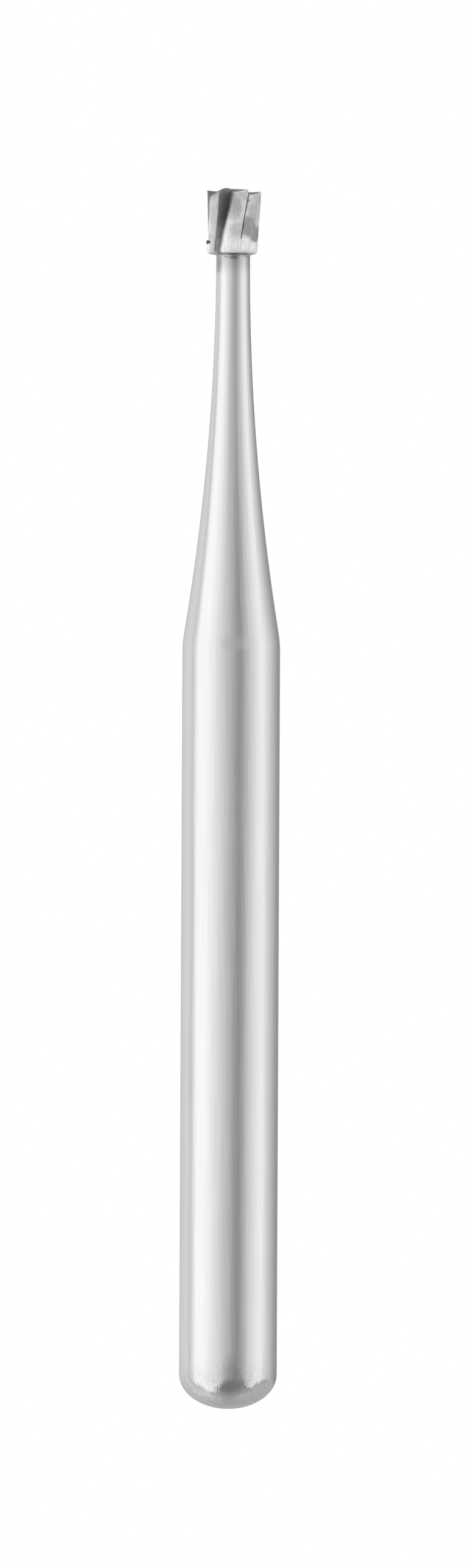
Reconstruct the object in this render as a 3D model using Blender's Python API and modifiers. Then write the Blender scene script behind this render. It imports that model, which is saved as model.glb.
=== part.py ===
"""A dental bur with an inverted-cone head and a friction-grip shank, in one piece.

It stands on its axis, +Z, head up, with the origin at the lowest point of the shank's domed end. The
body is turned from one profile. Six helical flutes are ground into the head and end at a plain collar,
apart from one that runs out through it. The end of the head is ground to six radial edges, each with
its own relief. Azimuths are in degrees from the front, -Y, towards +X. Lengths are in metres.
"""

import math

import bpy

# Shank and neck
SHANK_DIAMETER = 0.0016
SHANK_LENGTH = 0.012
SHANK_END_HEIGHT = 0.000565
SHOULDER_RADIUS = 0.002
TAPER_LENGTH = 0.00626
NECK_DIAMETER = 0.000554
NECK_LENGTH = 0.0001
NECK_FILLET_RADIUS = 0.00003

# Head, as turned
HEAD_LENGTH = 0.001035
HEAD_END_DIAMETER = 0.000888
HEAD_BACK_DIAMETER = 0.00082
HEAD_BACK_SLOPE = 12.0  # the back of the head falls towards the neck by this
COLLAR_HEIGHT = 0.0002
COLLAR_CORNER_RADIUS = 0.00005

# Blades and flutes
BLADE_COUNT = 6
BLADE_AZIMUTH = 32.5  # of the first blade's cutting edge at the end of the head
HELIX_LEAD = 0.018  # height of one full turn, right-handed
FLUTE_END_DEPTH = 0.00013
FLUTE_BACK_DEPTH = 0.00007
RAKE_ANGLE = 10.0  # the face leans forward by this from the radius, so the rake is negative
HEEL_ANGLE = 30.0  # the flute's other wall, from the radius
HEEL_DROP = 0.00003  # how far the back of a blade falls below the cone
EDGE_LAND_RISE = 0.0000015  # leaves a narrow land of the turned cone behind each edge
RUN_OUT_LENGTH = 0.00006  # over which a flute comes up out of the metal above the collar
THROUGH_FLUTE = 5  # the deep flute that runs out through the collar, counted from the first blade
THROUGH_FLUTE_END_DEPTH = 0.00026
THROUGH_FLUTE_BACK_DEPTH = 0.00006

# End edges
END_RISE = 0.00003  # how far the centre stands above the blades' corners
END_RELIEF_ANGLE = 9.0
END_EDGE_LEAD = 0.8  # how far each end edge lies ahead of its blade's corner

# Fineness
TURNED_STEPS = 64
TAPER_STEPS = 16
DOME_STEPS = 12
CORNER_STEPS = 4
FLUTE_STEPS = 20
LAND_STEPS = 5
CUTTER_MARGIN = 0.00003  # how far a cutter stands clear of what it cuts
MERGE_DISTANCE = 0.0000001
CRISP_ANGLE = 25.0  # edges that turn by more than this are shaded sharp

# Worked out from the sizes above
SHANK_RADIUS = SHANK_DIAMETER / 2
NECK_RADIUS = NECK_DIAMETER / 2
HEAD_END_RADIUS = HEAD_END_DIAMETER / 2
HEAD_BACK_RADIUS = HEAD_BACK_DIAMETER / 2
SHOULDER_Z = SHANK_END_HEIGHT + SHANK_LENGTH
NECK_Z = SHOULDER_Z + TAPER_LENGTH
HEAD_Z = NECK_Z + NECK_LENGTH
END_Z = HEAD_Z + HEAD_LENGTH
PITCH = 360 / BLADE_COUNT


def clear_scene():
    for obj in list(bpy.data.objects):
        bpy.data.objects.remove(obj, do_unlink=True)


def new_collection(name):
    collection = bpy.data.collections.new(name)
    bpy.context.scene.collection.children.link(collection)
    return collection


def new_object(name, collection, points, edges=(), faces=()):
    mesh = bpy.data.meshes.new(name)
    mesh.from_pydata(points, edges, faces)
    mesh.shade_smooth()
    obj = bpy.data.objects.new(name, mesh)
    collection.objects.link(obj)
    return obj


def polar(azimuth, radius, z):
    angle = math.radians(azimuth)
    return (radius * math.sin(angle), -radius * math.cos(angle), z)


def arc(centre, radii, start, end, steps):
    """Points (radius from the axis, z) on an ellipse's arc, angles in degrees from outwards to upwards."""
    angles = [math.radians(start + (end - start) * i / steps) for i in range(steps + 1)]
    return [
        (centre[0] + radii[0] * math.cos(a), centre[1] + radii[1] * math.sin(a)) for a in angles
    ]


def ground_metal():
    material = bpy.data.materials.new("ground_carbide")
    material.use_nodes = True
    shader = material.node_tree.nodes["Principled BSDF"]
    shader.inputs["Base Color"].default_value = (0.62, 0.62, 0.60, 1)
    shader.inputs["Metallic"].default_value = 1.0
    shader.inputs["Roughness"].default_value = 0.28
    return material


def head_radius(height):
    """Radius of the turned cone at a height above the back of the head."""
    return HEAD_BACK_RADIUS + (HEAD_END_RADIUS - HEAD_BACK_RADIUS) * height / HEAD_LENGTH


def taper_points():
    """The concave arc from the neck down to the shoulder, tangent to the neck, with the shoulder rounded."""
    rise = SHANK_RADIUS - NECK_RADIUS
    radius = (TAPER_LENGTH**2 + rise**2) / (2 * rise)
    slope = math.asin(TAPER_LENGTH / radius)
    trim = SHOULDER_RADIUS * math.tan(slope / 2)
    last = slope - trim / radius
    centre = (NECK_RADIUS + radius, NECK_Z)
    points = arc(centre, (radius, radius), 180, 180 + math.degrees(last), TAPER_STEPS)
    blend = (SHANK_RADIUS - SHOULDER_RADIUS, SHOULDER_Z - trim)
    radii = (SHOULDER_RADIUS, SHOULDER_RADIUS)
    return points + arc(blend, radii, math.degrees(last), 0, CORNER_STEPS)


def head_back_points():
    """The collar's lower corner, the sloping back of the head and the fillet at the neck, down the outside."""
    slope = math.radians(HEAD_BACK_SLOPE)
    corner = COLLAR_CORNER_RADIUS
    fillet = NECK_FILLET_RADIUS
    corner_centre = (head_radius(corner) - corner, HEAD_Z + corner)
    points = arc(corner_centre, (corner, corner), 0, HEAD_BACK_SLOPE - 90, CORNER_STEPS)
    radius, z = points[-1]
    fillet_radius = NECK_RADIUS + fillet * (1 - math.sin(slope))
    fillet_z = z - (radius - fillet_radius) * math.tan(slope)
    fillet_centre = (NECK_RADIUS + fillet, fillet_z - fillet * math.cos(slope))
    return points + arc(fillet_centre, (fillet, fillet), HEAD_BACK_SLOPE + 90, 180, CORNER_STEPS)


def turned_profile():
    """(radius, z) down the outside of the blank, from the middle of its end to the bottom of the dome."""
    top = HEAD_LENGTH + END_RISE + CUTTER_MARGIN
    profile = [(0, HEAD_Z + top), (head_radius(top), HEAD_Z + top)]
    profile += head_back_points()
    profile += taper_points()
    dome = (SHANK_RADIUS, SHANK_END_HEIGHT)
    profile += arc((0, SHANK_END_HEIGHT), dome, 0, -90, DOME_STEPS)[:-1]
    return profile + [(0, 0)]


def make_blank(collection):
    """The profile turned round the axis."""
    points = [(radius, 0, z) for radius, z in turned_profile()]
    edges = [(i, i + 1) for i in range(len(points) - 1)]
    blank = new_object("bur", collection, points, edges)
    screw = blank.modifiers.new("turned", "SCREW")
    screw.angle = math.tau
    screw.steps = TURNED_STEPS
    screw.render_steps = TURNED_STEPS
    screw.use_smooth_shade = True
    screw.use_merge_vertices = True
    screw.merge_threshold = MERGE_DISTANCE
    return blank


def flute_depth(height, flute):
    """Depth below the cone: full at the end, easing to the back depth."""
    through = flute == THROUGH_FLUTE
    end = THROUGH_FLUTE_END_DEPTH if through else FLUTE_END_DEPTH
    back = THROUGH_FLUTE_BACK_DEPTH if through else FLUTE_BACK_DEPTH
    return end + (back - end) * (1 - height / HEAD_LENGTH) ** 2


def blade_section(height, flute, relief):
    """(azimuth ahead of the cutting edge, radius) from one edge to just short of the next, at a height.

    The rake face leads down to the flute's bottom, the heel wall climbs from there until the heel's drop
    below the cone is left, and the back of the next blade rises to its edge. At a relief of 1 all this is
    cut in full, and at 0 the section lies just outside the cone, apart from the through flute's bottom.
    """
    cone = head_radius(height)
    depth = flute_depth(height, flute)
    bottom_x, bottom_y = depth * math.tan(math.radians(RAKE_ANGLE)), cone - depth
    wall_x, wall_y = math.sin(math.radians(HEEL_ANGLE)), math.cos(math.radians(HEEL_ANGLE))
    heel_radius = cone - HEEL_DROP
    along = bottom_x * wall_x + bottom_y * wall_y
    climb = math.sqrt(along**2 - bottom_x**2 - bottom_y**2 + heel_radius**2) - along
    heel_azimuth = math.degrees(math.atan2(bottom_x + climb * wall_x, bottom_y + climb * wall_y))
    edge_radius = cone + EDGE_LAND_RISE
    section = [(0, edge_radius), (heel_azimuth, heel_radius)]
    for i in range(1, LAND_STEPS):
        share = i / LAND_STEPS
        azimuth = heel_azimuth + (PITCH - heel_azimuth) * share
        section.append((azimuth, heel_radius + (edge_radius - heel_radius) * share))
    outside = cone + CUTTER_MARGIN / 2
    section = [(azimuth, outside + (radius - outside) * relief) for azimuth, radius in section]
    bottom_radius = math.hypot(bottom_x, bottom_y)
    if flute != THROUGH_FLUTE:
        bottom_radius = outside + (bottom_radius - outside) * relief
    section.insert(1, (math.degrees(math.atan2(bottom_x, bottom_y)), bottom_radius))
    return section


def flute_rows():
    """Heights above the back of the head, each with the share of relief there: none along the collar."""
    start = COLLAR_HEIGHT + RUN_OUT_LENGTH
    stop = HEAD_LENGTH + END_RISE + 2 * CUTTER_MARGIN
    rows = [(-CUTTER_MARGIN, 0), (COLLAR_HEIGHT, 0)]
    return rows + [(start + (stop - start) * i / FLUTE_STEPS, 1) for i in range(FLUTE_STEPS + 1)]


def flute_cutter(collection):
    """All the flutes as one lofted ring round the head, whose inside is the fluted form."""
    points = []
    rows = flute_rows()
    outside = HEAD_END_RADIUS + CUTTER_MARGIN
    for height, relief in rows:
        turn = BLADE_AZIMUTH + 360 * (height - HEAD_LENGTH) / HELIX_LEAD
        inside = [
            (turn + PITCH * blade + ahead, radius)
            for blade in range(BLADE_COUNT)
            for ahead, radius in blade_section(height, blade, relief)
        ]
        points += [polar(azimuth, radius, HEAD_Z + height) for azimuth, radius in inside]
        points += [polar(azimuth, outside, HEAD_Z + height) for azimuth, _ in inside]
    around = len(points) // len(rows) // 2
    last = len(points) - 2 * around
    faces = []
    for i in range(around):
        j = (i + 1) % around
        faces.append((i, j, j + around, i + around))
        faces.append((last + i + around, last + j + around, last + j, last + i))
        for row in range(len(rows) - 1):
            a, b = 2 * around * row + i, 2 * around * row + j
            c, d = a + 2 * around, b + 2 * around
            faces.append((a, c, d, b))
            faces.append((a + around, b + around, d + around, c + around))
    return new_object("flute_cutter", collection, points, faces=faces)


def end_cutter(collection):
    """The saw-toothed cap above the end: one sloping facet behind each radial edge, and a step before it."""
    centre_z = END_Z + END_RISE
    reach = HEAD_END_RADIUS / math.cos(math.radians(PITCH / 2)) + CUTTER_MARGIN
    edge_z = centre_z - END_RISE * reach / HEAD_END_RADIUS
    fall = reach * math.sin(math.radians(PITCH)) * math.tan(math.radians(END_RELIEF_ANGLE))
    top_z = centre_z + 2 * CUTTER_MARGIN
    points = [(0, 0, centre_z)]
    for blade in range(BLADE_COUNT):
        azimuth = BLADE_AZIMUTH + END_EDGE_LEAD + PITCH * blade
        points += [polar(azimuth, reach, z) for z in (edge_z, edge_z - fall, top_z)]
    faces = [[3 * blade + 3 for blade in range(BLADE_COUNT)]]
    for blade in range(BLADE_COUNT):
        high, low, top = (3 * blade + i for i in (1, 2, 3))
        next_high, next_low, next_top = (3 * ((blade + 1) % BLADE_COUNT) + i for i in (1, 2, 3))
        faces.append([0, next_high, low])
        faces.append([0, low, high])
        faces.append([high, low, next_high, next_top, top])
    return new_object("end_cutter", collection, points, faces=faces)


def cut_away(obj, cutter):
    cutter.hide_render = True
    cutter.display_type = "WIRE"
    boolean = obj.modifiers.new(cutter.name, "BOOLEAN")
    boolean.operation = "DIFFERENCE"
    boolean.solver = "EXACT"
    boolean.object = cutter


def apply_modifiers(obj):
    """Gives the object its finished mesh, shaded smooth up to the ground edges."""
    evaluated = obj.evaluated_get(bpy.context.evaluated_depsgraph_get())
    mesh = bpy.data.meshes.new_from_object(evaluated)
    mesh.shade_smooth()
    mesh.set_sharp_from_angle(angle=math.radians(CRISP_ANGLE))
    obj.modifiers.clear()
    obj.data = mesh


def make_bur():
    parts = new_collection("dental_bur")
    cutters = new_collection("cutters")
    bur = make_blank(parts)
    bur.data.materials.append(ground_metal())
    cut_away(bur, flute_cutter(cutters))
    cut_away(bur, end_cutter(cutters))
    apply_modifiers(bur)


clear_scene()
make_bur()
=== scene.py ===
"""Looks of the dental bur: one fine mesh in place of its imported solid, its metal, and a light tent.

The bur stands on +Z with its head up, and -Y is the side that the camera sees. Lengths are in millimetres
until a mesh or a light is made. Azimuths are in degrees from the front, -Y, towards +X. Heights on the head
are counted from its back.
"""

import math

import bmesh
import bpy
import numpy as np
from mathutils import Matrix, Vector, noise


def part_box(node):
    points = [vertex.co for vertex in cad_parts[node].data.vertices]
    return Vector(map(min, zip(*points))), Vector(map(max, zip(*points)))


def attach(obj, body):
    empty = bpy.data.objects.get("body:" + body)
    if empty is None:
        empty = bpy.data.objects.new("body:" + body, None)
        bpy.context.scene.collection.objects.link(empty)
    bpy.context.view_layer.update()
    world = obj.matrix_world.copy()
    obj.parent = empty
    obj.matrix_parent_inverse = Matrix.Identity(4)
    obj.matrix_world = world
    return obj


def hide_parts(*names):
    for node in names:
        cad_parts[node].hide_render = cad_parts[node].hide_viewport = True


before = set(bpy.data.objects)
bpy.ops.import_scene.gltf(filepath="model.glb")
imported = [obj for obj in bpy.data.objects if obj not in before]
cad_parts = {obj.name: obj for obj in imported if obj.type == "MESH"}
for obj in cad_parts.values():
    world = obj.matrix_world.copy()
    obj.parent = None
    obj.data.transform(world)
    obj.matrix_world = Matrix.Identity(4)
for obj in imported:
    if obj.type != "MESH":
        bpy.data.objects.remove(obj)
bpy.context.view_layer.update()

MM = 0.001
LOW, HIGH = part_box("bur")

# Shank and neck
SHANK_RADIUS = (HIGH.x - LOW.x) / 2 / MM
SHANK_LENGTH = 12.0
DOME_HEIGHT = 0.565
SHOULDER_RADIUS = 2.0
TAPER_LENGTH = 6.26
NECK_RADIUS = 0.277
NECK_LENGTH = 0.1
NECK_FILLET = 0.03

# Head
HEAD_LENGTH = 1.035
HEAD_END_RADIUS = 0.444
HEAD_BACK_RADIUS = 0.41
HEAD_BACK_SLOPE = 12.0
COLLAR_HEIGHT = 0.2
COLLAR_CORNER = (0.045, 0.08)  # the rounding of its lower corner, across and up
CORNER_END = -83.0  # where that rounding meets the sloping back of the head
COLLAR_BULGES = (0.024, -0.014)  # how far the collar stands out at the left and at the right
HEAD_LEAN = 0.01  # of the end of the head, to the right
LEAN_START = 0.4  # where it starts, as a share of the head's length

# Blades and flutes. Flute n lies between the cutting edges of blades n and n + 1
BLADE_COUNT = 6
BLADE_AZIMUTH = 32.5  # of the first blade's cutting edge at the end of the head
TWIST = 20.0  # degrees for each millimetre up the head
RAKE_ANGLE = 10.0
HEEL_ANGLE = 30.0
STEEP_FLUTE = 0  # the flute that shows as a mere line from the front
STEEP_HEEL_ANGLE = 5.0
HEEL_DROPS = (0.03, 0.016)  # at the end of the head and near its collar
THROUGH_HEEL_DROP = 0.003  # near the collar, behind the through flute
HEEL_DROP_CHANGE = (0.25, 0.75)  # between these shares of the head's length
FLUTE_DEPTHS = (0.13, 0.07)  # at the end of the head and at its back
THROUGH_FLUTE = 5  # the deep flute that runs out through the collar
THROUGH_FLUTE_DEPTHS = (0.26, 0.05)
MOUTH_DEPTHS = (0.125, 0.155)  # the least depth of that flute at the head's back, and from MOUTH_HEIGHT up
MOUTH_HEIGHT = 0.25
RUN_OUT = 0.06

# Wear of the blades
EDGE_WEAR = 0.006
BOTTOM_ROUNDING = 0.02
HEEL_WEAR = 0.01
RAGGEDNESS = 0.7  # degrees by which the ground edges wander
WANDERS = (7, 26)  # coarse and fine ones for each millimetre
FINE_WANDER = 0.6  # the fine wandering as a share of the coarse one
EDGE_WANDER = 0.3  # how much of it the cutting edges take
HEEL_WANDER = 2.0  # and how much of it the slope of the heel walls takes
WORN_BLADE = 5  # the blade left of the through flute, dulled near the end
WORN_ANGLE = 4.3  # how far its edge is worn back there
UPPER_HALF = (0.5, 1.0)  # of the head's length, where that wear and the shape of the end set in
LEFT_FLUTE = WORN_BLADE - 1

# End of the head
END_RISE = 0.03
END_RELIEF_ANGLE = 14.0
CROWN_HEIGHT = 0.024  # how far the worn blade's end edge stands proud
CROWN_RADIUS = 0.29
CROWN_WIDTH = 0.2
BLADE_RISES = {4: (0.006, -0.03), 1: (-0.006, -0.03)}  # at a blade's corner and halfway in
CORNER_WEAR = 0.008
CORNER_WEARS = {WORN_BLADE: 0.085, 0: 0.03}  # of the blades whose corners are rounded more
CORNER_SPREADS = {WORN_BLADE: 1.2, 0: 0.3}  # how far along the blade's back that rounding fades
RIM = 0.08  # the highest part of the blades, whose rings lie closer

# Painted shade: dark, duller metal painted into the flutes, along the through flute's edge, on some lands
# and on the worn corners, where they lie in shade. How much, and the places where it sets in and is in
# full, as shares of a flute's depth
LEFT_FLUTE_SHADE = (0.8, 0.05, 0.2)
PLAIN_FLUTE_SHADE = (0.25, 0.68, 0.85)
THROUGH_EDGE_SHADE = (0.4, 0.12, 0.04)
THROUGH_BOTTOM_SHADE = (0.6, 0.75, 0.93)
# The same for the lands, as shares of the way from a heel to the next edge
THROUGH_HEEL_SHADE = (0.65, 0.08, 0.0)
WORN_LAND_SHADE = (0.4, 0.3, 1.0)
# The same for the worn corners, as shares of their rounding's height
CORNER_SHADE = (0.7, 0.2, 0.7)
SHADED_CORNERS = (0.03, 0.06)  # from no painted shade to all of it, by the size of the rounding
# The rest of the through flute, low and high on the head, with the heights of the change
THROUGH_FACE_SHADE = (0.2, 0.8)
THROUGH_WALL_SHADE = (0.85, 0.9)
THROUGH_SHADE_CHANGE = (0.3, 0.6)

# Fineness: steps round the head, then rings of the surface from the dome up to the end
LAND_STEPS = 20
FACE_POINTS = 5
CORNER_STEPS = 4
BOTTOM_STEPS = 6
DOME_ROWS = 29
STRAIGHT_ROWS = 26
SHOULDER_ROWS = 12
TAPER_ROWS = 64
NECK_ROWS = 6
FILLET_ROWS = 7
BACK_ROWS = 7
CORNER_ROWS = 10
COLLAR_ROWS = 7
RUN_OUT_ROWS = 10
HEAD_ROWS = 90
RIM_ROWS = 20
END_ROWS = 16
SHARP_ANGLE = 40.0

SHOULDER_Z = DOME_HEIGHT + SHANK_LENGTH
NECK_Z = SHOULDER_Z + TAPER_LENGTH
HEAD_Z = NECK_Z + NECK_LENGTH
PITCH = 360 / BLADE_COUNT
BOTTOM_MIDDLE = CORNER_STEPS + 1 + FACE_POINTS + BOTTOM_STEPS // 2  # index in a section
COLUMNS = BLADE_COUNT * (2 * CORNER_STEPS + 2 + 2 * FACE_POINTS + BOTTOM_STEPS + LAND_STEPS)

# Brightness of the metal, where 1 is a perfect mirror
SHANK_LEVEL = 0.67
FROSTED_LEVEL = 0.61
# Painted shade of the head: the darker neck under it and the darker ring just under its collar
SHADE_UNDER_HEAD_LEVEL = 0.48
COLLAR_SHADE_RING_LEVEL = 0.42
COLLAR_LEVEL = 0.91
BLADE_LEVELS = (0.82, 0.64)  # plain, and in blotches
END_LEVEL = 0.22
# Painted shade in the flutes, along an edge, on some lands and on the worn corners
PAINTED_SHADE_LEVEL = 0.13
PAINTED_SHADE_METAL = 0.35  # how metallic the metal is where shade is painted

# Roughness of the metal, and the heights of its bumps in BUMP_UNIT
SHANK_ROUGHNESS = 0.15
FROSTED_ROUGHNESS = 0.14
COLLAR_ROUGHNESS = 0.72
BLADE_ROUGHNESS = 0.62
STREAK_HEIGHTS = (0.8, 1.5)  # on the shank and on the head
WAVE_HEIGHT = 3.0
SPECKLE_HEIGHT = 0.8
PATCH_HEIGHT = 7.0
BUMP_UNIT = 0.0005

# Noises in the metal: grains for each millimetre of x, y and z, detail and roughness. HEAD_FINE,
# HEAD_BROAD, STREAKS and WAVES follow the twist of the blades
HEAD_FINE = ((60, 60, 4), 3, 0.6)
HEAD_BROAD = ((18, 18, 2), 2, 0.5)
HEAD_MOTTLE = ((14, 14, 11), 4, 0.6)
HEAD_BLOTCHES = ((3.1, 3.1, 2.3), 3, 0.55)
STREAKS = ((45, 45, 0.8), 3, 0.5)
WAVES = ((6, 6, 0.4), 2, 0.5)
PATCHES = ((9, 9, 9), 4, 0.6)
SPECKLE = ((26, 26, 26), 3, 0.65)
RAGGED_BORDERS = ((13, 13, 10), 3, 0.6)
# the unevenness of the painted shade in the flutes
SHADE_NOISE = ((20, 20, 12), 4, 0.6)
BLOTCH_BORDER = (0.1, 0.35)  # values of that noise

# How far these noises change the brightness
HEAD_UNEVENNESS = (0.36, 0.18, 0.2)  # the fine one, the broad one and the mottle, as shares of it
SHANK_UNEVENNESS = (0.03, 0.04)  # waves and streaks
FROSTED_UNEVENNESS = (0.1, 0.12)  # patches and speckle
# of the painted shade in the flutes
PAINTED_SHADE_UNEVENNESS = 0.05
METAL_TINT = (1, 0.999, 0.993, 1)

# Heights where the metal changes, each with its start and end. Patches make all but ABOVE_COLLAR ragged
ON_HEAD = (HEAD_Z - 0.01, HEAD_Z + 0.015)
# Painted shade of the head on the neck under it, darkest in a ring just under the collar
SHADE_UNDER_HEAD = (HEAD_Z - 0.42, HEAD_Z - 0.05)
COLLAR_SHADE_RING = (HEAD_Z - 0.05, HEAD_Z - 0.035)
ABOVE_COLLAR = (HEAD_Z + COLLAR_HEIGHT, HEAD_Z + COLLAR_HEIGHT + RUN_OUT)
FROSTED = (0.95, 0.35)
RING_RAGGEDNESS = 0.02
FROST_RAGGEDNESS = 0.12

# Stains and patches of painted shade on the side that shows: x and z of the middle, half-widths,
# softness of the border, and the brightness of the metal there
HEAD_STAINS_AND_SHADOW = (
    ((0.12, 19.93), (0.36, 0.08), 0.5, 0.68),
    ((-0.36, 19.62), (0.08, 0.22), 0.6, 0.68),
    ((0.4, 19.8), (0.07, 0.12), 0.6, 0.62),
    ((0.0, 19.68), (0.11, 0.2), 0.5, 0.54),
    ((0.03, 19.31), (0.085, 0.11), 0.5, 0.66),
    ((0.32, 19.62), (0.1, 0.16), 0.6, 0.56),
    ((0.27, 19.35), (0.12, 0.19), 0.3, 0.4),
    ((0.37, 19.25), (0.1, 0.14), 0.3, 0.4),
    ((0.252, 19.78), (0.02, 0.02), 0.6, 0.4),
    ((-0.38, 19.9), (0.12, 0.1), 0.5, 0.5),
    # a painted shadow in the pocket above the collar's ledge at the left
    ((-0.42, 19.11), (0.05, 0.03), 0.3, 0.1),
)
# Dark blotches under the head: partly oxide stains, partly painted shade of the head
NECK_STAINS_AND_SHADE = (
    ((0.01, 18.865), (0.07, 0.04), 0.5, 0.24),
    ((-0.12, 18.885), (0.05, 0.025), 0.5, 0.3),
    ((-0.25, 18.79), (0.06, 0.16), 0.6, 0.36),
    ((0.22, 18.88), (0.1, 0.02), 0.5, 0.36),
)
# A darker middle on the front of the dome: a painted reflection, which widens the dim front that the dome
# mirrors
DOME_PAINTED_REFLECTION = (
    ((0.04, 0.58), (0.12, 0.26), 0.6, 0.51),
    ((0.06, 0.4), (0.16, 0.1), 0.6, 0.5),
)
MARK_DEPTH = 0.3
MARK_RAGGEDNESS = 0.5

# Camera
PHOTO_WIDTH, PHOTO_HEIGHT = 773, 2576
PIXELS_PER_MM = 100.25
AXIS_PIXEL = 378.6  # where the bur's axis crosses the middle of the picture's height
TIP_PIXEL = 2314.5  # the height of the lowest point of the dome in the picture
PICTURE_ROLL = 0.27
CAMERA_DISTANCE = 172.0
SENSOR = 36.0

# Floor and world. The floor is small, so that it never hides the bur from a camera below it
FLOOR_DROP = 4.0
FLOOR_SIZE = 11.0
PAPER_LEVEL = 0.8
PAPER_LIFT = 0.5
WORLD_LEVEL = 0.8

# The tent's glow by azimuth, level with the bur and under its lamps, and the elevation where those end
TENT_RADIUS = 900.0
NADIR = -90  # elevation straight down
GLOW_SCALE = 1.5  # the strongest glow that its ramps can hold
GLOW_LEVEL = (
    (-180, 0.5), (-150, 0.8), (-116, 0.97), (-102, 0.8), (-95, 1.02), (-86, 1.38), (-62, 1.4),
    (-35, 1.12), (0, 0.66), (20, 0.36), (35, 0.62), (50, 0.92), (64, 1.12), (76, 1.25), (87, 1.22),
    (96, 0.98), (112, 0.78), (130, 0.54), (150, 0.36), (180, 0.5),
)
GLOW_BELOW = (
    (-180, 0.55), (-130, 0.85), (-108, 0.94), (-97, 0.8), (-60, 0.49), (-30, 0.33), (35, 0.35),
    (60, 0.49), (80, 0.55), (97, 0.66), (110, 0.68), (180, 0.55),
)
LAMP_ENDS = (
    (-180, -14), (-118, -10), (-107, -9), (-87, -42), (-80, -62), (-60, -70), (-38, -52), (-19, -47),
    (-5, -34), (5, -25), (35, -22), (41, -28), (60, -44), (74, -47), (83, -27), (95, -14), (180, -14),
)
LAMP_BORDER = (-4, 3)  # degrees over which the lamps end
FRONT_BORDER = -26  # where that starts instead at the front, between the lamps
FRONT = (12, 45, 20)  # azimuth of its middle, half-width, and half-width of its core
SEAM = (5, 5, 1, 0.24)  # dark seam: how far under the lamps, half-width and that of its core, darkness
SEAM_SIDES = (77, 40, 26)  # the seam's middle at each side, and half-widths
# The front as the neck mirrors it, above the horizon: azimuth, half-width, that of the core, and strength
NECK_PALER = (26, 26, 6, 0.12)
NECK_DARKER = (-14, 20, 2, 0.14)
NECK_ELEVATIONS = ((0, 5), (20, 8))  # where this sets in, going up and coming down
GLOW_UNDER = 0.48
UNDER_ELEVATIONS = (-66, -86)
GLOW_ABOVE = 1.0
ABOVE_ELEVATIONS = (25, 50)


def smooth(low, high, value):
    """0 at low, 1 at high, easing between them; also for arrays."""
    share = np.clip((np.asarray(value, float) - low) / (high - low), 0.0, 1.0)
    return share * share * (3 - 2 * share)


def mix(a, b, share):
    return a + (b - a) * share


def cone_radius(height):
    return mix(HEAD_BACK_RADIUS, HEAD_END_RADIUS, height / HEAD_LENGTH)


def rounded_corner(before, corner, after, size, steps):
    """Points round a corner of an outline, from size before it to size after it."""
    start = corner + (before - corner).normalized() * size
    end = corner + (after - corner).normalized() * size
    shares = [i / steps for i in range(steps + 1)]
    return [(1 - t) ** 2 * start + 2 * t * (1 - t) * corner + t**2 * end for t in shares]


def points_between(start, end, count):
    return [start.lerp(end, (i + 1) / (count + 1)) for i in range(count)]


def wander(height, line):
    """How far a ground edge wanders from its true line at a height, in degrees.

    The numbers beside the line only keep the lines and the two noises apart.
    """
    coarse = noise.noise(Vector((height * WANDERS[0], line * 3.7, 0.5)))
    fine = noise.noise(Vector((height * WANDERS[1], line * 5.3, 4.5)))
    return RAGGEDNESS * (coarse + FINE_WANDER * fine)


def edge_shift(height, blade):
    """How far a blade's cutting edge lies back from its true line, in degrees."""
    worn = EDGE_WANDER * wander(height, blade)
    if blade == WORN_BLADE:
        worn += WORN_ANGLE * float(smooth(*UPPER_HALF, height / HEAD_LENGTH))
    return worn


def flute_depth(height, flute):
    """Depth of a flute at a height. The through flute stays deep enough to leave the collar as a mouth."""
    from_end = (1 - height / HEAD_LENGTH) ** 2
    if flute != THROUGH_FLUTE:
        return mix(*FLUTE_DEPTHS, from_end)
    mouth = mix(*MOUTH_DEPTHS, float(smooth(0.0, MOUTH_HEIGHT, height)))
    return max(mix(*THROUGH_FLUTE_DEPTHS, from_end), mouth)


def heel_drop(height, flute):
    """How far the heel after a flute lies under the cone."""
    low_drop = THROUGH_HEEL_DROP if flute == THROUGH_FLUTE else HEEL_DROPS[1]
    return mix(low_drop, HEEL_DROPS[0], float(smooth(*HEEL_DROP_CHANGE, height / HEAD_LENGTH)))


def flute_outline(height, flute, cone, depth, heel_radius):
    """Points down the rake face, round the bottom, up the heel wall and over the heel of the next blade.

    In the section's own plane x runs ahead of the edge and y out from the axis.
    """
    worn = math.radians(edge_shift(height, flute))
    edge = Vector((-math.sin(worn), math.cos(worn))) * cone
    land_before = edge + Vector((-math.cos(worn), -math.sin(worn)))
    bottom = Vector((depth * math.tan(math.radians(RAKE_ANGLE)), cone - depth))
    heel_angle = STEEP_HEEL_ANGLE if flute == STEEP_FLUTE else HEEL_ANGLE
    heel_angle = math.radians(heel_angle + HEEL_WANDER * wander(height, flute + BLADE_COUNT))
    wall = Vector((math.sin(heel_angle), math.cos(heel_angle)))
    along = bottom.dot(wall)
    heel = bottom + wall * (math.sqrt(along**2 - bottom.length_squared + heel_radius**2) - along)
    land_after = heel + Vector((heel.y, -heel.x))
    outline = rounded_corner(land_before, edge, bottom, EDGE_WEAR, CORNER_STEPS)
    for before, corner, after, size, steps in (
        (edge, bottom, heel, BOTTOM_ROUNDING, BOTTOM_STEPS),
        (bottom, heel, land_after, HEEL_WEAR, CORNER_STEPS),
    ):
        turn = rounded_corner(before, corner, after, size, steps)
        outline += points_between(outline[-1], turn[0], FACE_POINTS) + turn
    return outline


def spread(painted_shade, place):
    """Painted shade at a place, from how much it is in full and the places where it sets in and is in full.
    """
    most, start, full = painted_shade
    return most * smooth(start, full, place)


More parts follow.
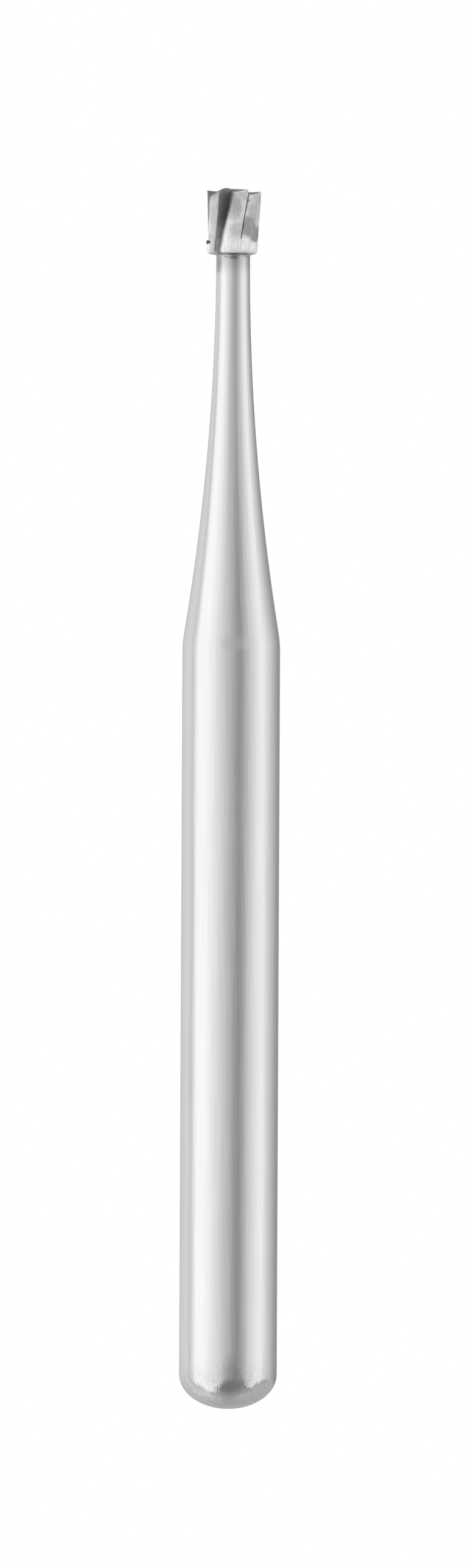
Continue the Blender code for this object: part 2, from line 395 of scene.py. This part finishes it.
def flute_shade(height, flute, on_face, deep):
    """How much shade is painted in a flute at a height, by the depth there as a share of the whole."""
    if flute == LEFT_FLUTE:
        return spread(LEFT_FLUTE_SHADE, deep)
    if flute == STEEP_FLUTE:
        return 0.0
    if flute != THROUGH_FLUTE:
        return spread(PLAIN_FLUTE_SHADE, deep)
    upper = smooth(*THROUGH_SHADE_CHANGE, height)
    if not on_face:
        return mix(*THROUGH_WALL_SHADE, upper)
    low, high = THROUGH_FACE_SHADE
    return mix(low + spread(THROUGH_EDGE_SHADE, deep) + spread(THROUGH_BOTTOM_SHADE, deep), high, upper)


def land_shade(flute, share):
    """How much shade is painted on the land after a flute, by the share of the way from its heel to the
    next edge.
    """
    if flute == THROUGH_FLUTE:
        return spread(THROUGH_HEEL_SHADE, share)
    return spread(WORN_LAND_SHADE, share) if flute == LEFT_FLUTE else 0.0


def blade_section(height, flute):
    """(azimuth, radius, painted shade) from one cutting edge to just before the next, at a height."""
    cone = cone_radius(height)
    through = flute == THROUGH_FLUTE
    relief = float(smooth(COLLAR_HEIGHT, COLLAR_HEIGHT + RUN_OUT, height))
    depth = flute_depth(height, flute)
    heel_radius = cone - heel_drop(height, flute) * (relief if through else 1)
    outline = flute_outline(height, flute, cone, depth, heel_radius)
    section = [(math.degrees(math.atan2(p.x, p.y)), p.length) for p in outline]
    in_flute = len(section)
    start_azimuth, start_radius = section[-1]
    next_blade = (flute + 1) % BLADE_COUNT
    end_azimuth = PITCH - math.degrees(EDGE_WEAR / cone) - edge_shift(height, next_blade)
    for i in range(1, LAND_STEPS):
        share = i / LAND_STEPS
        section.append((mix(start_azimuth, end_azimuth, share), mix(start_radius, cone, share)))
    points = []
    for i, (azimuth, radius) in enumerate(section):
        cut = 1.0 if through and i < in_flute else relief
        # painted shade where the flute and the land lie in shade
        if i < in_flute:
            deep = min(max((cone - radius) / depth, 0.0), 1.0)
            painted_shade = flute_shade(height, flute, i <= BOTTOM_MIDDLE, deep) * cut
        else:
            painted_shade = land_shade(flute, (i - in_flute) / LAND_STEPS)
        points.append((azimuth, mix(cone, radius, cut), painted_shade))
    return points


def head_section(height):
    """The head's whole ring at a height: azimuth, radius, painted shade and blade, one row for each."""
    turn = BLADE_AZIMUTH + TWIST * (height - HEAD_LENGTH)
    ring = []
    for flute in range(BLADE_COUNT):
        for i, (ahead, radius, painted_shade) in enumerate(blade_section(height, flute)):
            blade = flute if i <= BOTTOM_MIDDLE else (flute + 1) % BLADE_COUNT
            ring.append((turn + PITCH * flute + ahead, radius, painted_shade, blade))
    return np.array(ring).T


def collar_bulge(azimuth, height):
    """How far the uneven collar stands out from the cone there."""
    side = np.sin(np.radians(azimuth))
    bulge = np.where(side < 0, *COLLAR_BULGES) * np.abs(side) ** 3
    return bulge * (1 - smooth(COLLAR_HEIGHT, COLLAR_HEIGHT + RUN_OUT, height))


def behind_edge(azimuth, radius, blade):
    """How far a point lies along a blade's end edge and behind it."""
    angle = np.radians(BLADE_AZIMUTH + PITCH * blade - azimuth)
    return radius * np.cos(angle), radius * np.sin(angle)


def end_height(azimuth, radius, blade):
    """Height of a blade's end facet: along its end edge it rises to the middle, and behind it falls away.

    A blade in BLADE_RISES is also bent, by a line to its corner and a curve that is in full halfway in.
    """
    along, behind = behind_edge(azimuth, radius, blade)
    height = HEAD_LENGTH + END_RISE * (1 - along / HEAD_END_RADIUS)
    height -= np.maximum(behind, 0) * math.tan(math.radians(END_RELIEF_ANGLE))
    crown = smooth(CROWN_WIDTH, 0, np.abs(along - CROWN_RADIUS)) * smooth(CROWN_WIDTH, 0, np.abs(behind))
    height += CROWN_HEIGHT * crown * (blade == WORN_BLADE)
    out = radius / HEAD_END_RADIUS
    for risen, (corner, halfway) in BLADE_RISES.items():
        height += (corner * out + halfway * 4 * out * (1 - out)) * (blade == risen)
    return height


def corner_wear(azimuth, height, radius, blade):
    """How far the corners at the blades' ends are rounded inwards at these points, and the shade painted on
    them.
    """
    size = np.full_like(radius, CORNER_WEAR)
    for worn, wear in CORNER_WEARS.items():
        _, behind = behind_edge(azimuth, radius, blade)
        fade = smooth(CORNER_SPREADS[worn], 0.0, np.abs(behind))
        size = np.where(blade == worn, mix(CORNER_WEAR, wear, fade), size)
    up = np.clip((height - (HEAD_LENGTH - size)) / size, 0, 1)
    return size * (1 - np.sqrt(1 - up**2)), spread(CORNER_SHADE, up) * smooth(*SHADED_CORNERS, size)


def row(azimuth, radius, z, offset=0.0, painted_shade=0.0, twist=0.0):
    """One ring of the surface: azimuth, radius, z, offset in x, painted shade and the grain's twist."""
    values = np.broadcast_arrays(azimuth, radius, z, offset, painted_shade, twist)
    return np.stack([np.asarray(value, float) for value in values])


def arc_rows(azimuth, centre, radii, start, end, count):
    """Rings along an arc of the turned profile, angles in degrees from outwards to upwards."""
    (middle_radius, middle_z), (across, up) = centre, radii
    angles = np.radians(np.linspace(start, end, count))
    return [row(azimuth, middle_radius + across * np.cos(a), middle_z + up * np.sin(a)) for a in angles]


def shank_rows(azimuth):
    """From the first ring of the dome up to the neck."""
    dome = arc_rows(azimuth, (0, DOME_HEIGHT), (SHANK_RADIUS, DOME_HEIGHT), -90, 0, DOME_ROWS)[1:]
    rise = SHANK_RADIUS - NECK_RADIUS
    taper_radius = (TAPER_LENGTH**2 + rise**2) / (2 * rise)
    slope = math.asin(TAPER_LENGTH / taper_radius)
    trim = SHOULDER_RADIUS * math.tan(slope / 2)
    shoulder_z = SHOULDER_Z - trim
    heights = np.linspace(DOME_HEIGHT, shoulder_z, STRAIGHT_ROWS)[1:-1]
    straight = [row(azimuth, SHANK_RADIUS, z) for z in heights]
    shoulder_centre = (SHANK_RADIUS - SHOULDER_RADIUS, shoulder_z)
    last = math.degrees(slope - trim / taper_radius)
    shoulder = arc_rows(azimuth, shoulder_centre, (SHOULDER_RADIUS,) * 2, 0, last, SHOULDER_ROWS)
    taper_centre = (NECK_RADIUS + taper_radius, NECK_Z)
    taper = arc_rows(azimuth, taper_centre, (taper_radius,) * 2, 180 + last, 180, TAPER_ROWS)
    return dome + straight + shoulder + taper[1:]


def collar_corner(angle):
    """(radius, height) on the rounding of the collar's lower corner."""
    across, up = COLLAR_CORNER
    angle = math.radians(angle)
    return cone_radius(up) - across * (1 - math.cos(angle)), up * (1 + math.sin(angle))


def neck_rows(shank_azimuth, head_azimuth):
    """The neck's top, where the columns of the shank slide to those of the head, and its fillet."""
    slope = math.radians(HEAD_BACK_SLOPE)
    radius, height = collar_corner(CORNER_END)
    fillet_radius = NECK_RADIUS + NECK_FILLET * (1 - math.sin(slope))
    fillet_z = HEAD_Z + height - (radius - fillet_radius) * math.tan(slope)
    centre = (NECK_RADIUS + NECK_FILLET, fillet_z - NECK_FILLET * math.cos(slope))
    rows = []
    for share in np.linspace(0, 1, NECK_ROWS)[1:]:
        azimuth = mix(shank_azimuth, head_azimuth, share)
        rows.append(row(azimuth, NECK_RADIUS, mix(NECK_Z, centre[1], share)))
    fillet = arc_rows(head_azimuth, centre, (NECK_FILLET,) * 2, 180, 90 + HEAD_BACK_SLOPE, FILLET_ROWS)
    return rows + fillet[1:]


def corner_rows():
    """The collar's lower corner, with the through flute's mouth in it."""
    rows = []
    for angle in np.linspace(CORNER_END, 0, CORNER_ROWS)[:-1]:
        outside, height = collar_corner(angle)
        azimuth, radius, painted_shade, _ = head_section(height)
        radius = np.minimum(radius, outside) + collar_bulge(azimuth, height)
        rows.append(row(azimuth, radius, HEAD_Z + height, 0.0, painted_shade, TWIST * height))
    return rows


def head_rows():
    """From above the collar's lower corner up the blades to the rim of the end."""
    run_out = COLLAR_HEIGHT + RUN_OUT
    heights = np.concatenate([
        np.linspace(COLLAR_CORNER[1], COLLAR_HEIGHT, COLLAR_ROWS)[:-1],
        np.linspace(COLLAR_HEIGHT, run_out, RUN_OUT_ROWS)[:-1],
        np.linspace(run_out, HEAD_LENGTH - RIM, HEAD_ROWS)[:-1],
        HEAD_LENGTH - RIM * np.cos(np.linspace(0, math.pi / 2, RIM_ROWS)),
    ])
    rows = []
    for height in heights:
        azimuth, radius, painted_shade, blade = head_section(height)
        # the worn corners also get painted shade up their rounding
        worn, painted_corner_shade = corner_wear(azimuth, height, radius, blade)
        radius = radius - worn + collar_bulge(azimuth, height)
        share = smooth(*UPPER_HALF, height / HEAD_LENGTH)
        z = HEAD_Z + height + share * (end_height(azimuth, radius, blade) - HEAD_LENGTH)
        lean = HEAD_LEAN * smooth(LEAN_START, 1.0, height / HEAD_LENGTH)
        rows.append(row(azimuth, radius, z, lean, np.maximum(painted_shade, painted_corner_shade), TWIST * height))
    return rows


def end_rows():
    """From the rim in across the end facets, to just short of the middle."""
    azimuth, radius, painted_shade, blade = head_section(HEAD_LENGTH)
    radius = radius - corner_wear(azimuth, HEAD_LENGTH, radius, blade)[0]
    rows = []
    for share in np.linspace(1, 0, END_ROWS)[1:-1]:
        z = HEAD_Z + end_height(azimuth, radius * share, blade)
        rows.append(row(azimuth, radius * share, z, HEAD_LEAN, painted_shade * share, TWIST * HEAD_LENGTH))
    return rows


def ring_faces(count):
    """Faces between so many rings, and the fans that close them with a bottom and a top point."""
    faces = []
    bottom, top = count * COLUMNS, count * COLUMNS + 1
    for i in range(COLUMNS):
        j = (i + 1) % COLUMNS
        faces.append((bottom, j, i))
        faces.append((top, (count - 1) * COLUMNS + i, (count - 1) * COLUMNS + j))
        faces += [
            (a * COLUMNS + i, a * COLUMNS + j, (a + 1) * COLUMNS + j, (a + 1) * COLUMNS + i)
            for a in range(count - 1)
        ]
    return faces


def make_surface():
    """The whole bur as one mesh of rings, closed by a point at each end."""
    corner = corner_rows()
    head_azimuth = corner[0][0]
    shank_azimuth = head_azimuth[0] + 360 * np.arange(COLUMNS) / COLUMNS
    below = shank_rows(shank_azimuth) + neck_rows(shank_azimuth, head_azimuth)
    back = [mix(below[-1], corner[0], share) for share in np.linspace(0, 1, BACK_ROWS)[1:-1]]
    sides = below + back + corner + head_rows()
    end = end_rows()
    rings = np.stack(sides + end)
    azimuth, radius, z, offset, painted_shade, twist = (rings[:, i, :] for i in range(6))
    angle = np.radians(azimuth)
    points = np.stack([radius * np.sin(angle) + offset, -radius * np.cos(angle), z], axis=-1)
    tips = [(0, 0, 0), (HEAD_LEAN, 0, HEAD_Z + HEAD_LENGTH + END_RISE)]
    points = np.concatenate([points.reshape(-1, 3), tips]) * MM
    along = np.radians(azimuth - twist)
    grain = np.stack([np.sin(along), -np.cos(along), z], axis=-1)
    grain = np.concatenate([grain.reshape(-1, 3), [(0, 0, 0), (0, 0, tips[1][2])]])
    on_end = np.repeat([0.0] * len(sides) + [1.0] * len(end), COLUMNS)

    mesh = bpy.data.meshes.new("bur_surface")
    mesh.from_pydata(points.tolist(), [], ring_faces(len(rings)))
    mesh.attributes.new("grain", "FLOAT_VECTOR", "POINT").data.foreach_set("vector", grain.ravel())
    # the painted shade goes to the material as a mesh attribute
    for name, values, tip in (("painted_shade", painted_shade.ravel(), 0.0), ("end", on_end, 1.0)):
        attribute = mesh.attributes.new(name, "FLOAT", "POINT")
        attribute.data.foreach_set("value", np.concatenate([values, [0.0, tip]]))
    mesh.shade_smooth()
    mesh.set_sharp_from_angle(angle=math.radians(SHARP_ANGLE))
    surface = bpy.data.objects.new("bur_surface", mesh)
    bpy.context.scene.collection.objects.link(surface)
    return surface


class Graph:
    """A node tree with short ways to add nodes. An input takes a socket or a plain value."""

    def __init__(self, tree):
        self.tree = tree
        tree.nodes.clear()

    def feed(self, socket, value):
        if isinstance(value, bpy.types.NodeSocket):
            self.tree.links.new(value, socket)
        else:
            socket.default_value = value

    def add(self, kind, inputs=None, **settings):
        node = self.tree.nodes.new(kind)
        for name, value in settings.items():
            setattr(node, name, value)
        for name, value in (inputs or {}).items():
            self.feed(node.inputs[name], value)
        return node

    def math(self, operation, *values):
        return self.add("ShaderNodeMath", dict(enumerate(values)), operation=operation).outputs[0]

    def plus(self, value, *terms):
        """value plus each term, given with its strength."""
        for term, strength in terms:
            value = self.math("MULTIPLY_ADD", term, strength, value)
        return value

    def vector(self, operation, *values):
        return self.add("ShaderNodeVectorMath", dict(enumerate(values)), operation=operation)

    def attribute(self, name, output):
        return self.add("ShaderNodeAttribute", attribute_name=name).outputs[output]

    def ease(self, value, low, high, to_low=0.0, to_high=1.0):
        ends = {"Value": value, "From Min": low, "From Max": high, "To Min": to_low, "To Max": to_high}
        return self.add("ShaderNodeMapRange", ends, interpolation_type="SMOOTHSTEP").outputs["Result"]

    def near(self, value, middle, reach, core, far=0.0, close=1.0):
        """close where the value lies within core of the middle, far beyond reach, and eased between."""
        distance = self.math("ABSOLUTE", self.math("ADD", value, -middle))
        return self.ease(distance, reach, core, far, close)

    def noise(self, vector, kind):
        """One of the noises above, from about -1 to 1."""
        stretch, detail, roughness = kind
        scaled = self.vector("MULTIPLY", vector, stretch).outputs[0]
        inputs = {"Vector": scaled, "Scale": 1.0, "Detail": detail, "Roughness": roughness}
        value = self.add("ShaderNodeTexNoise", inputs).outputs[0]
        return self.math("MULTIPLY_ADD", value, 2.0, -1.0)

    def patch(self, place, ragged, centre, size, soft):
        """1 inside an ellipsoid with a ragged border and 0 outside it."""
        away = self.vector("DIVIDE", self.vector("SUBTRACT", place, centre).outputs[0], size).outputs[0]
        reach = self.math("ADD", self.vector("LENGTH", away).outputs["Value"], ragged)
        return self.ease(reach, 1 + soft, 1 - soft)

    def fade(self, value, share, target):
        """value, drawn towards target by share."""
        return self.add("ShaderNodeMix", {0: share, 2: value, 3: target}, data_type="FLOAT").outputs[0]

    def blend(self, share, a, b):
        return self.add("ShaderNodeMix", {0: share, 6: a, 7: b}, data_type="RGBA").outputs[2]

    def ramp(self, value, stops):
        node = self.add("ShaderNodeValToRGB", {"Fac": value})
        elements = node.color_ramp.elements
        while len(elements) > 1:
            elements.remove(elements[-1])
        for i, (place, level) in enumerate(stops):
            element = elements[0] if i == 0 else elements.new(place)
            element.position = place
            element.color = grey(level)
        return node.outputs["Color"]


def grey(level):
    return (level, level, level, 1)


def new_material(name):
    material = bpy.data.materials.new(name)
    material.use_nodes = True
    return material, Graph(material.node_tree)


def stained_and_shaded(graph, level, place, marks, radius):
    """The level with a table's patches on the side that the camera sees: stains, and also painted shade and
    a painted reflection.
    """
    ragged = graph.math("MULTIPLY", graph.noise(place, RAGGED_BORDERS), MARK_RAGGEDNESS)
    for (x, z), (across, up), soft, dark in marks:
        centre = (x, -math.sqrt(radius**2 - x**2), z)
        share = graph.patch(place, ragged, centre, (across, MARK_DEPTH, up), soft)
        level = graph.fade(level, share, dark)
    return level


def head_level(graph, place, grain, above_collar):
    """Brightness of the head's ground metal, with its stains, a painted shadow in the pocket above the
    collar's ledge, and the streaks that the wheel left.
    """
    blotch = graph.ease(graph.noise(place, HEAD_BLOTCHES), *BLOTCH_BORDER)
    level = graph.fade(COLLAR_LEVEL, above_collar, graph.fade(BLADE_LEVELS[0], blotch, BLADE_LEVELS[1]))
    level = stained_and_shaded(graph, level, place, HEAD_STAINS_AND_SHADOW, HEAD_END_RADIUS)
    changes = [graph.noise(grain, kind) for kind in (HEAD_FINE, HEAD_BROAD)]
    changes.append(graph.noise(place, HEAD_MOTTLE))
    return graph.math("MULTIPLY", level, graph.plus(1.0, *zip(changes, HEAD_UNEVENNESS)))


def ground_metal():
    """Ground carbide: polished shank, frosted dome, matt head, and painted shade, darker and duller, where
    the mesh says so.
    """
    material, graph = new_material("ground_carbide")
    grain = graph.attribute("grain", "Vector")
    painted_shade = graph.attribute("painted_shade", "Fac")
    end = graph.attribute("end", "Fac")
    here = graph.add("ShaderNodeTexCoord").outputs["Object"]
    place = graph.vector("MULTIPLY", here, (1 / MM, 1 / MM, 1 / MM)).outputs[0]
    z = graph.add("ShaderNodeSeparateXYZ", {0: place}).outputs[2]
    streaks, waves = (graph.noise(grain, kind) for kind in (STREAKS, WAVES))
    patches, speckle, shade_noise = (graph.noise(place, kind) for kind in (PATCHES, SPECKLE, SHADE_NOISE))

    ring = graph.plus(z, (patches, RING_RAGGEDNESS))
    on_head = graph.ease(ring, *ON_HEAD)
    shade_under_head = graph.ease(ring, *SHADE_UNDER_HEAD)
    collar_shade_ring = graph.ease(ring, *COLLAR_SHADE_RING)
    above_collar = graph.ease(z, *ABOVE_COLLAR)
    frosted = graph.ease(graph.plus(z, (patches, FROST_RAGGEDNESS)), *FROSTED)

    level = graph.plus(SHANK_LEVEL, *zip((waves, streaks), SHANK_UNEVENNESS))
    frost = graph.plus(FROSTED_LEVEL, *zip((patches, speckle), FROSTED_UNEVENNESS))
    level = graph.fade(level, frosted, frost)
    # a painted reflection of the dim front on the dome
    level = stained_and_shaded(graph, level, place, DOME_PAINTED_REFLECTION, SHANK_RADIUS)
    # painted shade of the head on the neck, and darker still just under its collar
    level = graph.fade(level, shade_under_head, SHADE_UNDER_HEAD_LEVEL)
    level = stained_and_shaded(graph, level, place, NECK_STAINS_AND_SHADE, NECK_RADIUS)
    level = graph.fade(level, collar_shade_ring, COLLAR_SHADE_RING_LEVEL)
    level = graph.fade(level, on_head, head_level(graph, place, grain, above_collar))
    level = graph.fade(level, end, END_LEVEL)
    # painted shade in the flutes, along an edge, on some lands and on the worn corners
    level = graph.fade(level, painted_shade, graph.plus(PAINTED_SHADE_LEVEL, (shade_noise, PAINTED_SHADE_UNEVENNESS)))
    color = graph.blend(level, grey(0.0), METAL_TINT)

    roughness = graph.fade(SHANK_ROUGHNESS, frosted, FROSTED_ROUGHNESS)
    roughness = graph.fade(roughness, on_head, COLLAR_ROUGHNESS)
    roughness = graph.fade(roughness, graph.math("MULTIPLY", on_head, above_collar), BLADE_ROUGHNESS)
    height = graph.plus(
        0.0,
        (streaks, graph.fade(STREAK_HEIGHTS[0], on_head, STREAK_HEIGHTS[1])),
        (waves, graph.fade(WAVE_HEIGHT, on_head, 0.0)),
        (graph.plus(0.0, (speckle, SPECKLE_HEIGHT), (patches, PATCH_HEIGHT)), frosted),
    )
    bump = graph.add("ShaderNodeBump", {"Height": height, "Distance": BUMP_UNIT * MM, "Strength": 1.0})
    surface = {
        "Base Color": color,
        "Metallic": graph.fade(1.0, painted_shade, PAINTED_SHADE_METAL),
        "Roughness": roughness,
        "Normal": bump.outputs[0],
    }
    shader = graph.add("ShaderNodeBsdfPrincipled", surface)
    graph.add("ShaderNodeOutputMaterial", {"Surface": shader.outputs[0]})
    return material


def level_glow(graph, level, azimuth, elevation):
    """The glow beside the bur, with the flatter front that the neck mirrors."""
    rise, fall = (graph.ease(elevation, *ends) for ends in NECK_ELEVATIONS)
    seen_by_neck = graph.math("MULTIPLY", rise, fall)
    for band, tone in ((NECK_PALER, 1.0), (NECK_DARKER, 0.0)):
        middle, reach, core, strength = band
        share = graph.near(azimuth, middle, reach, core, 0.0, strength)
        level = graph.blend(graph.math("MULTIPLY", share, seen_by_neck), level, grey(tone))
    return level


def tent_cloth():
    """The tent's glow by direction: two lamps behind the cloth left and right, and the dim front."""
    material, graph = new_material("tent_cloth")
    place = graph.add("ShaderNodeTexCoord").outputs["Object"]
    x, y, z = graph.add("ShaderNodeSeparateXYZ", {0: place}).outputs
    azimuth = graph.math("DEGREES", graph.math("ARCTAN2", x, graph.math("MULTIPLY", y, -1.0)))
    out = graph.math("SQRT", graph.math("ADD", graph.math("POWER", x, 2.0), graph.math("POWER", y, 2.0)))
    elevation = graph.math("DEGREES", graph.math("ARCTAN2", z, out))
    turn = graph.math("MULTIPLY_ADD", azimuth, 1 / 360, 0.5)
    level, below, depth = (
        graph.ramp(turn, [((angle + 180) / 360, value / scale) for angle, value in table])
        for table, scale in ((GLOW_LEVEL, GLOW_SCALE), (GLOW_BELOW, GLOW_SCALE), (LAMP_ENDS, NADIR))
    )
    under_lamps = graph.math("MULTIPLY_ADD", depth, NADIR, graph.math("MULTIPLY", elevation, -1))
    border_start = graph.near(azimuth, *FRONT, LAMP_BORDER[0], FRONT_BORDER)
    level = level_glow(graph, level, azimuth, elevation)
    glow = graph.blend(graph.ease(under_lamps, border_start, LAMP_BORDER[1]), level, below)
    depth_of_seam, reach, core, darkness = SEAM
    seam = graph.near(under_lamps, depth_of_seam, reach, core, 0.0, darkness)
    seam = graph.math("MULTIPLY", seam, graph.near(graph.math("ABSOLUTE", azimuth), *SEAM_SIDES))
    glow = graph.blend(seam, glow, grey(0.0))
    glow = graph.blend(graph.ease(elevation, *UNDER_ELEVATIONS), glow, grey(GLOW_UNDER / GLOW_SCALE))
    glow = graph.blend(graph.ease(elevation, *ABOVE_ELEVATIONS), glow, grey(GLOW_ABOVE / GLOW_SCALE))
    emission = graph.add("ShaderNodeEmission", {"Color": glow, "Strength": GLOW_SCALE})
    graph.add("ShaderNodeOutputMaterial", {"Surface": emission.outputs[0]})
    return material


def seen_directly(graph):
    """1 for the rays that show a background: the camera's, and those that metal or glass throws back."""
    rays = graph.add("ShaderNodeLightPath").outputs
    seen = graph.math("MAXIMUM", rays["Is Camera Ray"], rays["Is Glossy Ray"])
    return graph.math("MAXIMUM", seen, rays["Is Transmission Ray"])


def make_world():
    world = bpy.data.worlds.new("studio")
    bpy.context.scene.world = world
    world.use_nodes = True
    graph = Graph(world.node_tree)
    color = graph.blend(seen_directly(graph), grey(WORLD_LEVEL), grey(1.0))
    background = graph.add("ShaderNodeBackground", {"Color": color, "Strength": 1.0})
    graph.add("ShaderNodeOutputWorld", {"Surface": background.outputs[0]})


def stage_object(name, build, material):
    """An object of the studio from a bmesh call."""
    mesh = bpy.data.meshes.new(name)
    shape = bmesh.new()
    build(shape)
    shape.to_mesh(mesh)
    shape.free()
    mesh.materials.append(material)
    obj = bpy.data.objects.new(name, mesh)
    bpy.context.scene.collection.objects.link(obj)
    return obj


def make_tent():
    """A sphere of glowing cloth round the bur, which the camera looks through."""
    def ball(shape):
        bmesh.ops.create_uvsphere(shape, u_segments=96, v_segments=48, radius=TENT_RADIUS * MM)

    tent = stage_object("light_tent", ball, tent_cloth())
    tent.location.z = HIGH.z / 2
    tent.visible_camera = False


def pale_floor():
    """White paper that glows just enough to look as white as the background, and still takes a shadow."""
    material, graph = new_material("pale_floor")
    paper = graph.add("ShaderNodeBsdfDiffuse", {"Color": grey(PAPER_LEVEL)})
    strength = graph.math("MULTIPLY", seen_directly(graph), PAPER_LIFT)
    lift = graph.add("ShaderNodeEmission", {"Color": grey(1.0), "Strength": strength})
    both = graph.add("ShaderNodeAddShader", {0: paper.outputs[0], 1: lift.outputs[0]})
    graph.add("ShaderNodeOutputMaterial", {"Surface": both.outputs[0]})
    return material


def make_floor():
    """The floor lies just below the bur, which is held upright over it."""
    def square(shape):
        bmesh.ops.create_grid(shape, size=FLOOR_SIZE / 2 * MM)

    floor = stage_object("floor", square, pale_floor())
    floor.location.z = -FLOOR_DROP * MM
    floor.visible_glossy = False


def make_camera():
    """The photograph's camera, square to the bur and far enough away to see its sides as parallel."""
    data = bpy.data.cameras.new("camera")
    camera = bpy.data.objects.new("camera", data)
    bpy.context.scene.collection.objects.link(camera)
    data.sensor_width = SENSOR
    data.lens = SENSOR * CAMERA_DISTANCE * PIXELS_PER_MM / PHOTO_HEIGHT
    data.clip_start = MM
    across = (PHOTO_WIDTH / 2 - AXIS_PIXEL) / PIXELS_PER_MM
    up = (TIP_PIXEL - PHOTO_HEIGHT / 2) / PIXELS_PER_MM
    camera.location = Vector((across, -CAMERA_DISTANCE, up)) * MM
    camera.rotation_euler = (math.radians(90), 0, 0)
    camera.rotation_euler.rotate_axis("Z", math.radians(PICTURE_ROLL))
    bpy.context.scene.camera = camera


bur = make_surface()
bur.data.materials.append(ground_metal())
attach(bur, "root")
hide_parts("bur")

make_tent()
make_floor()
make_world()
make_camera()
bpy.context.scene.view_settings.view_transform = "Standard"
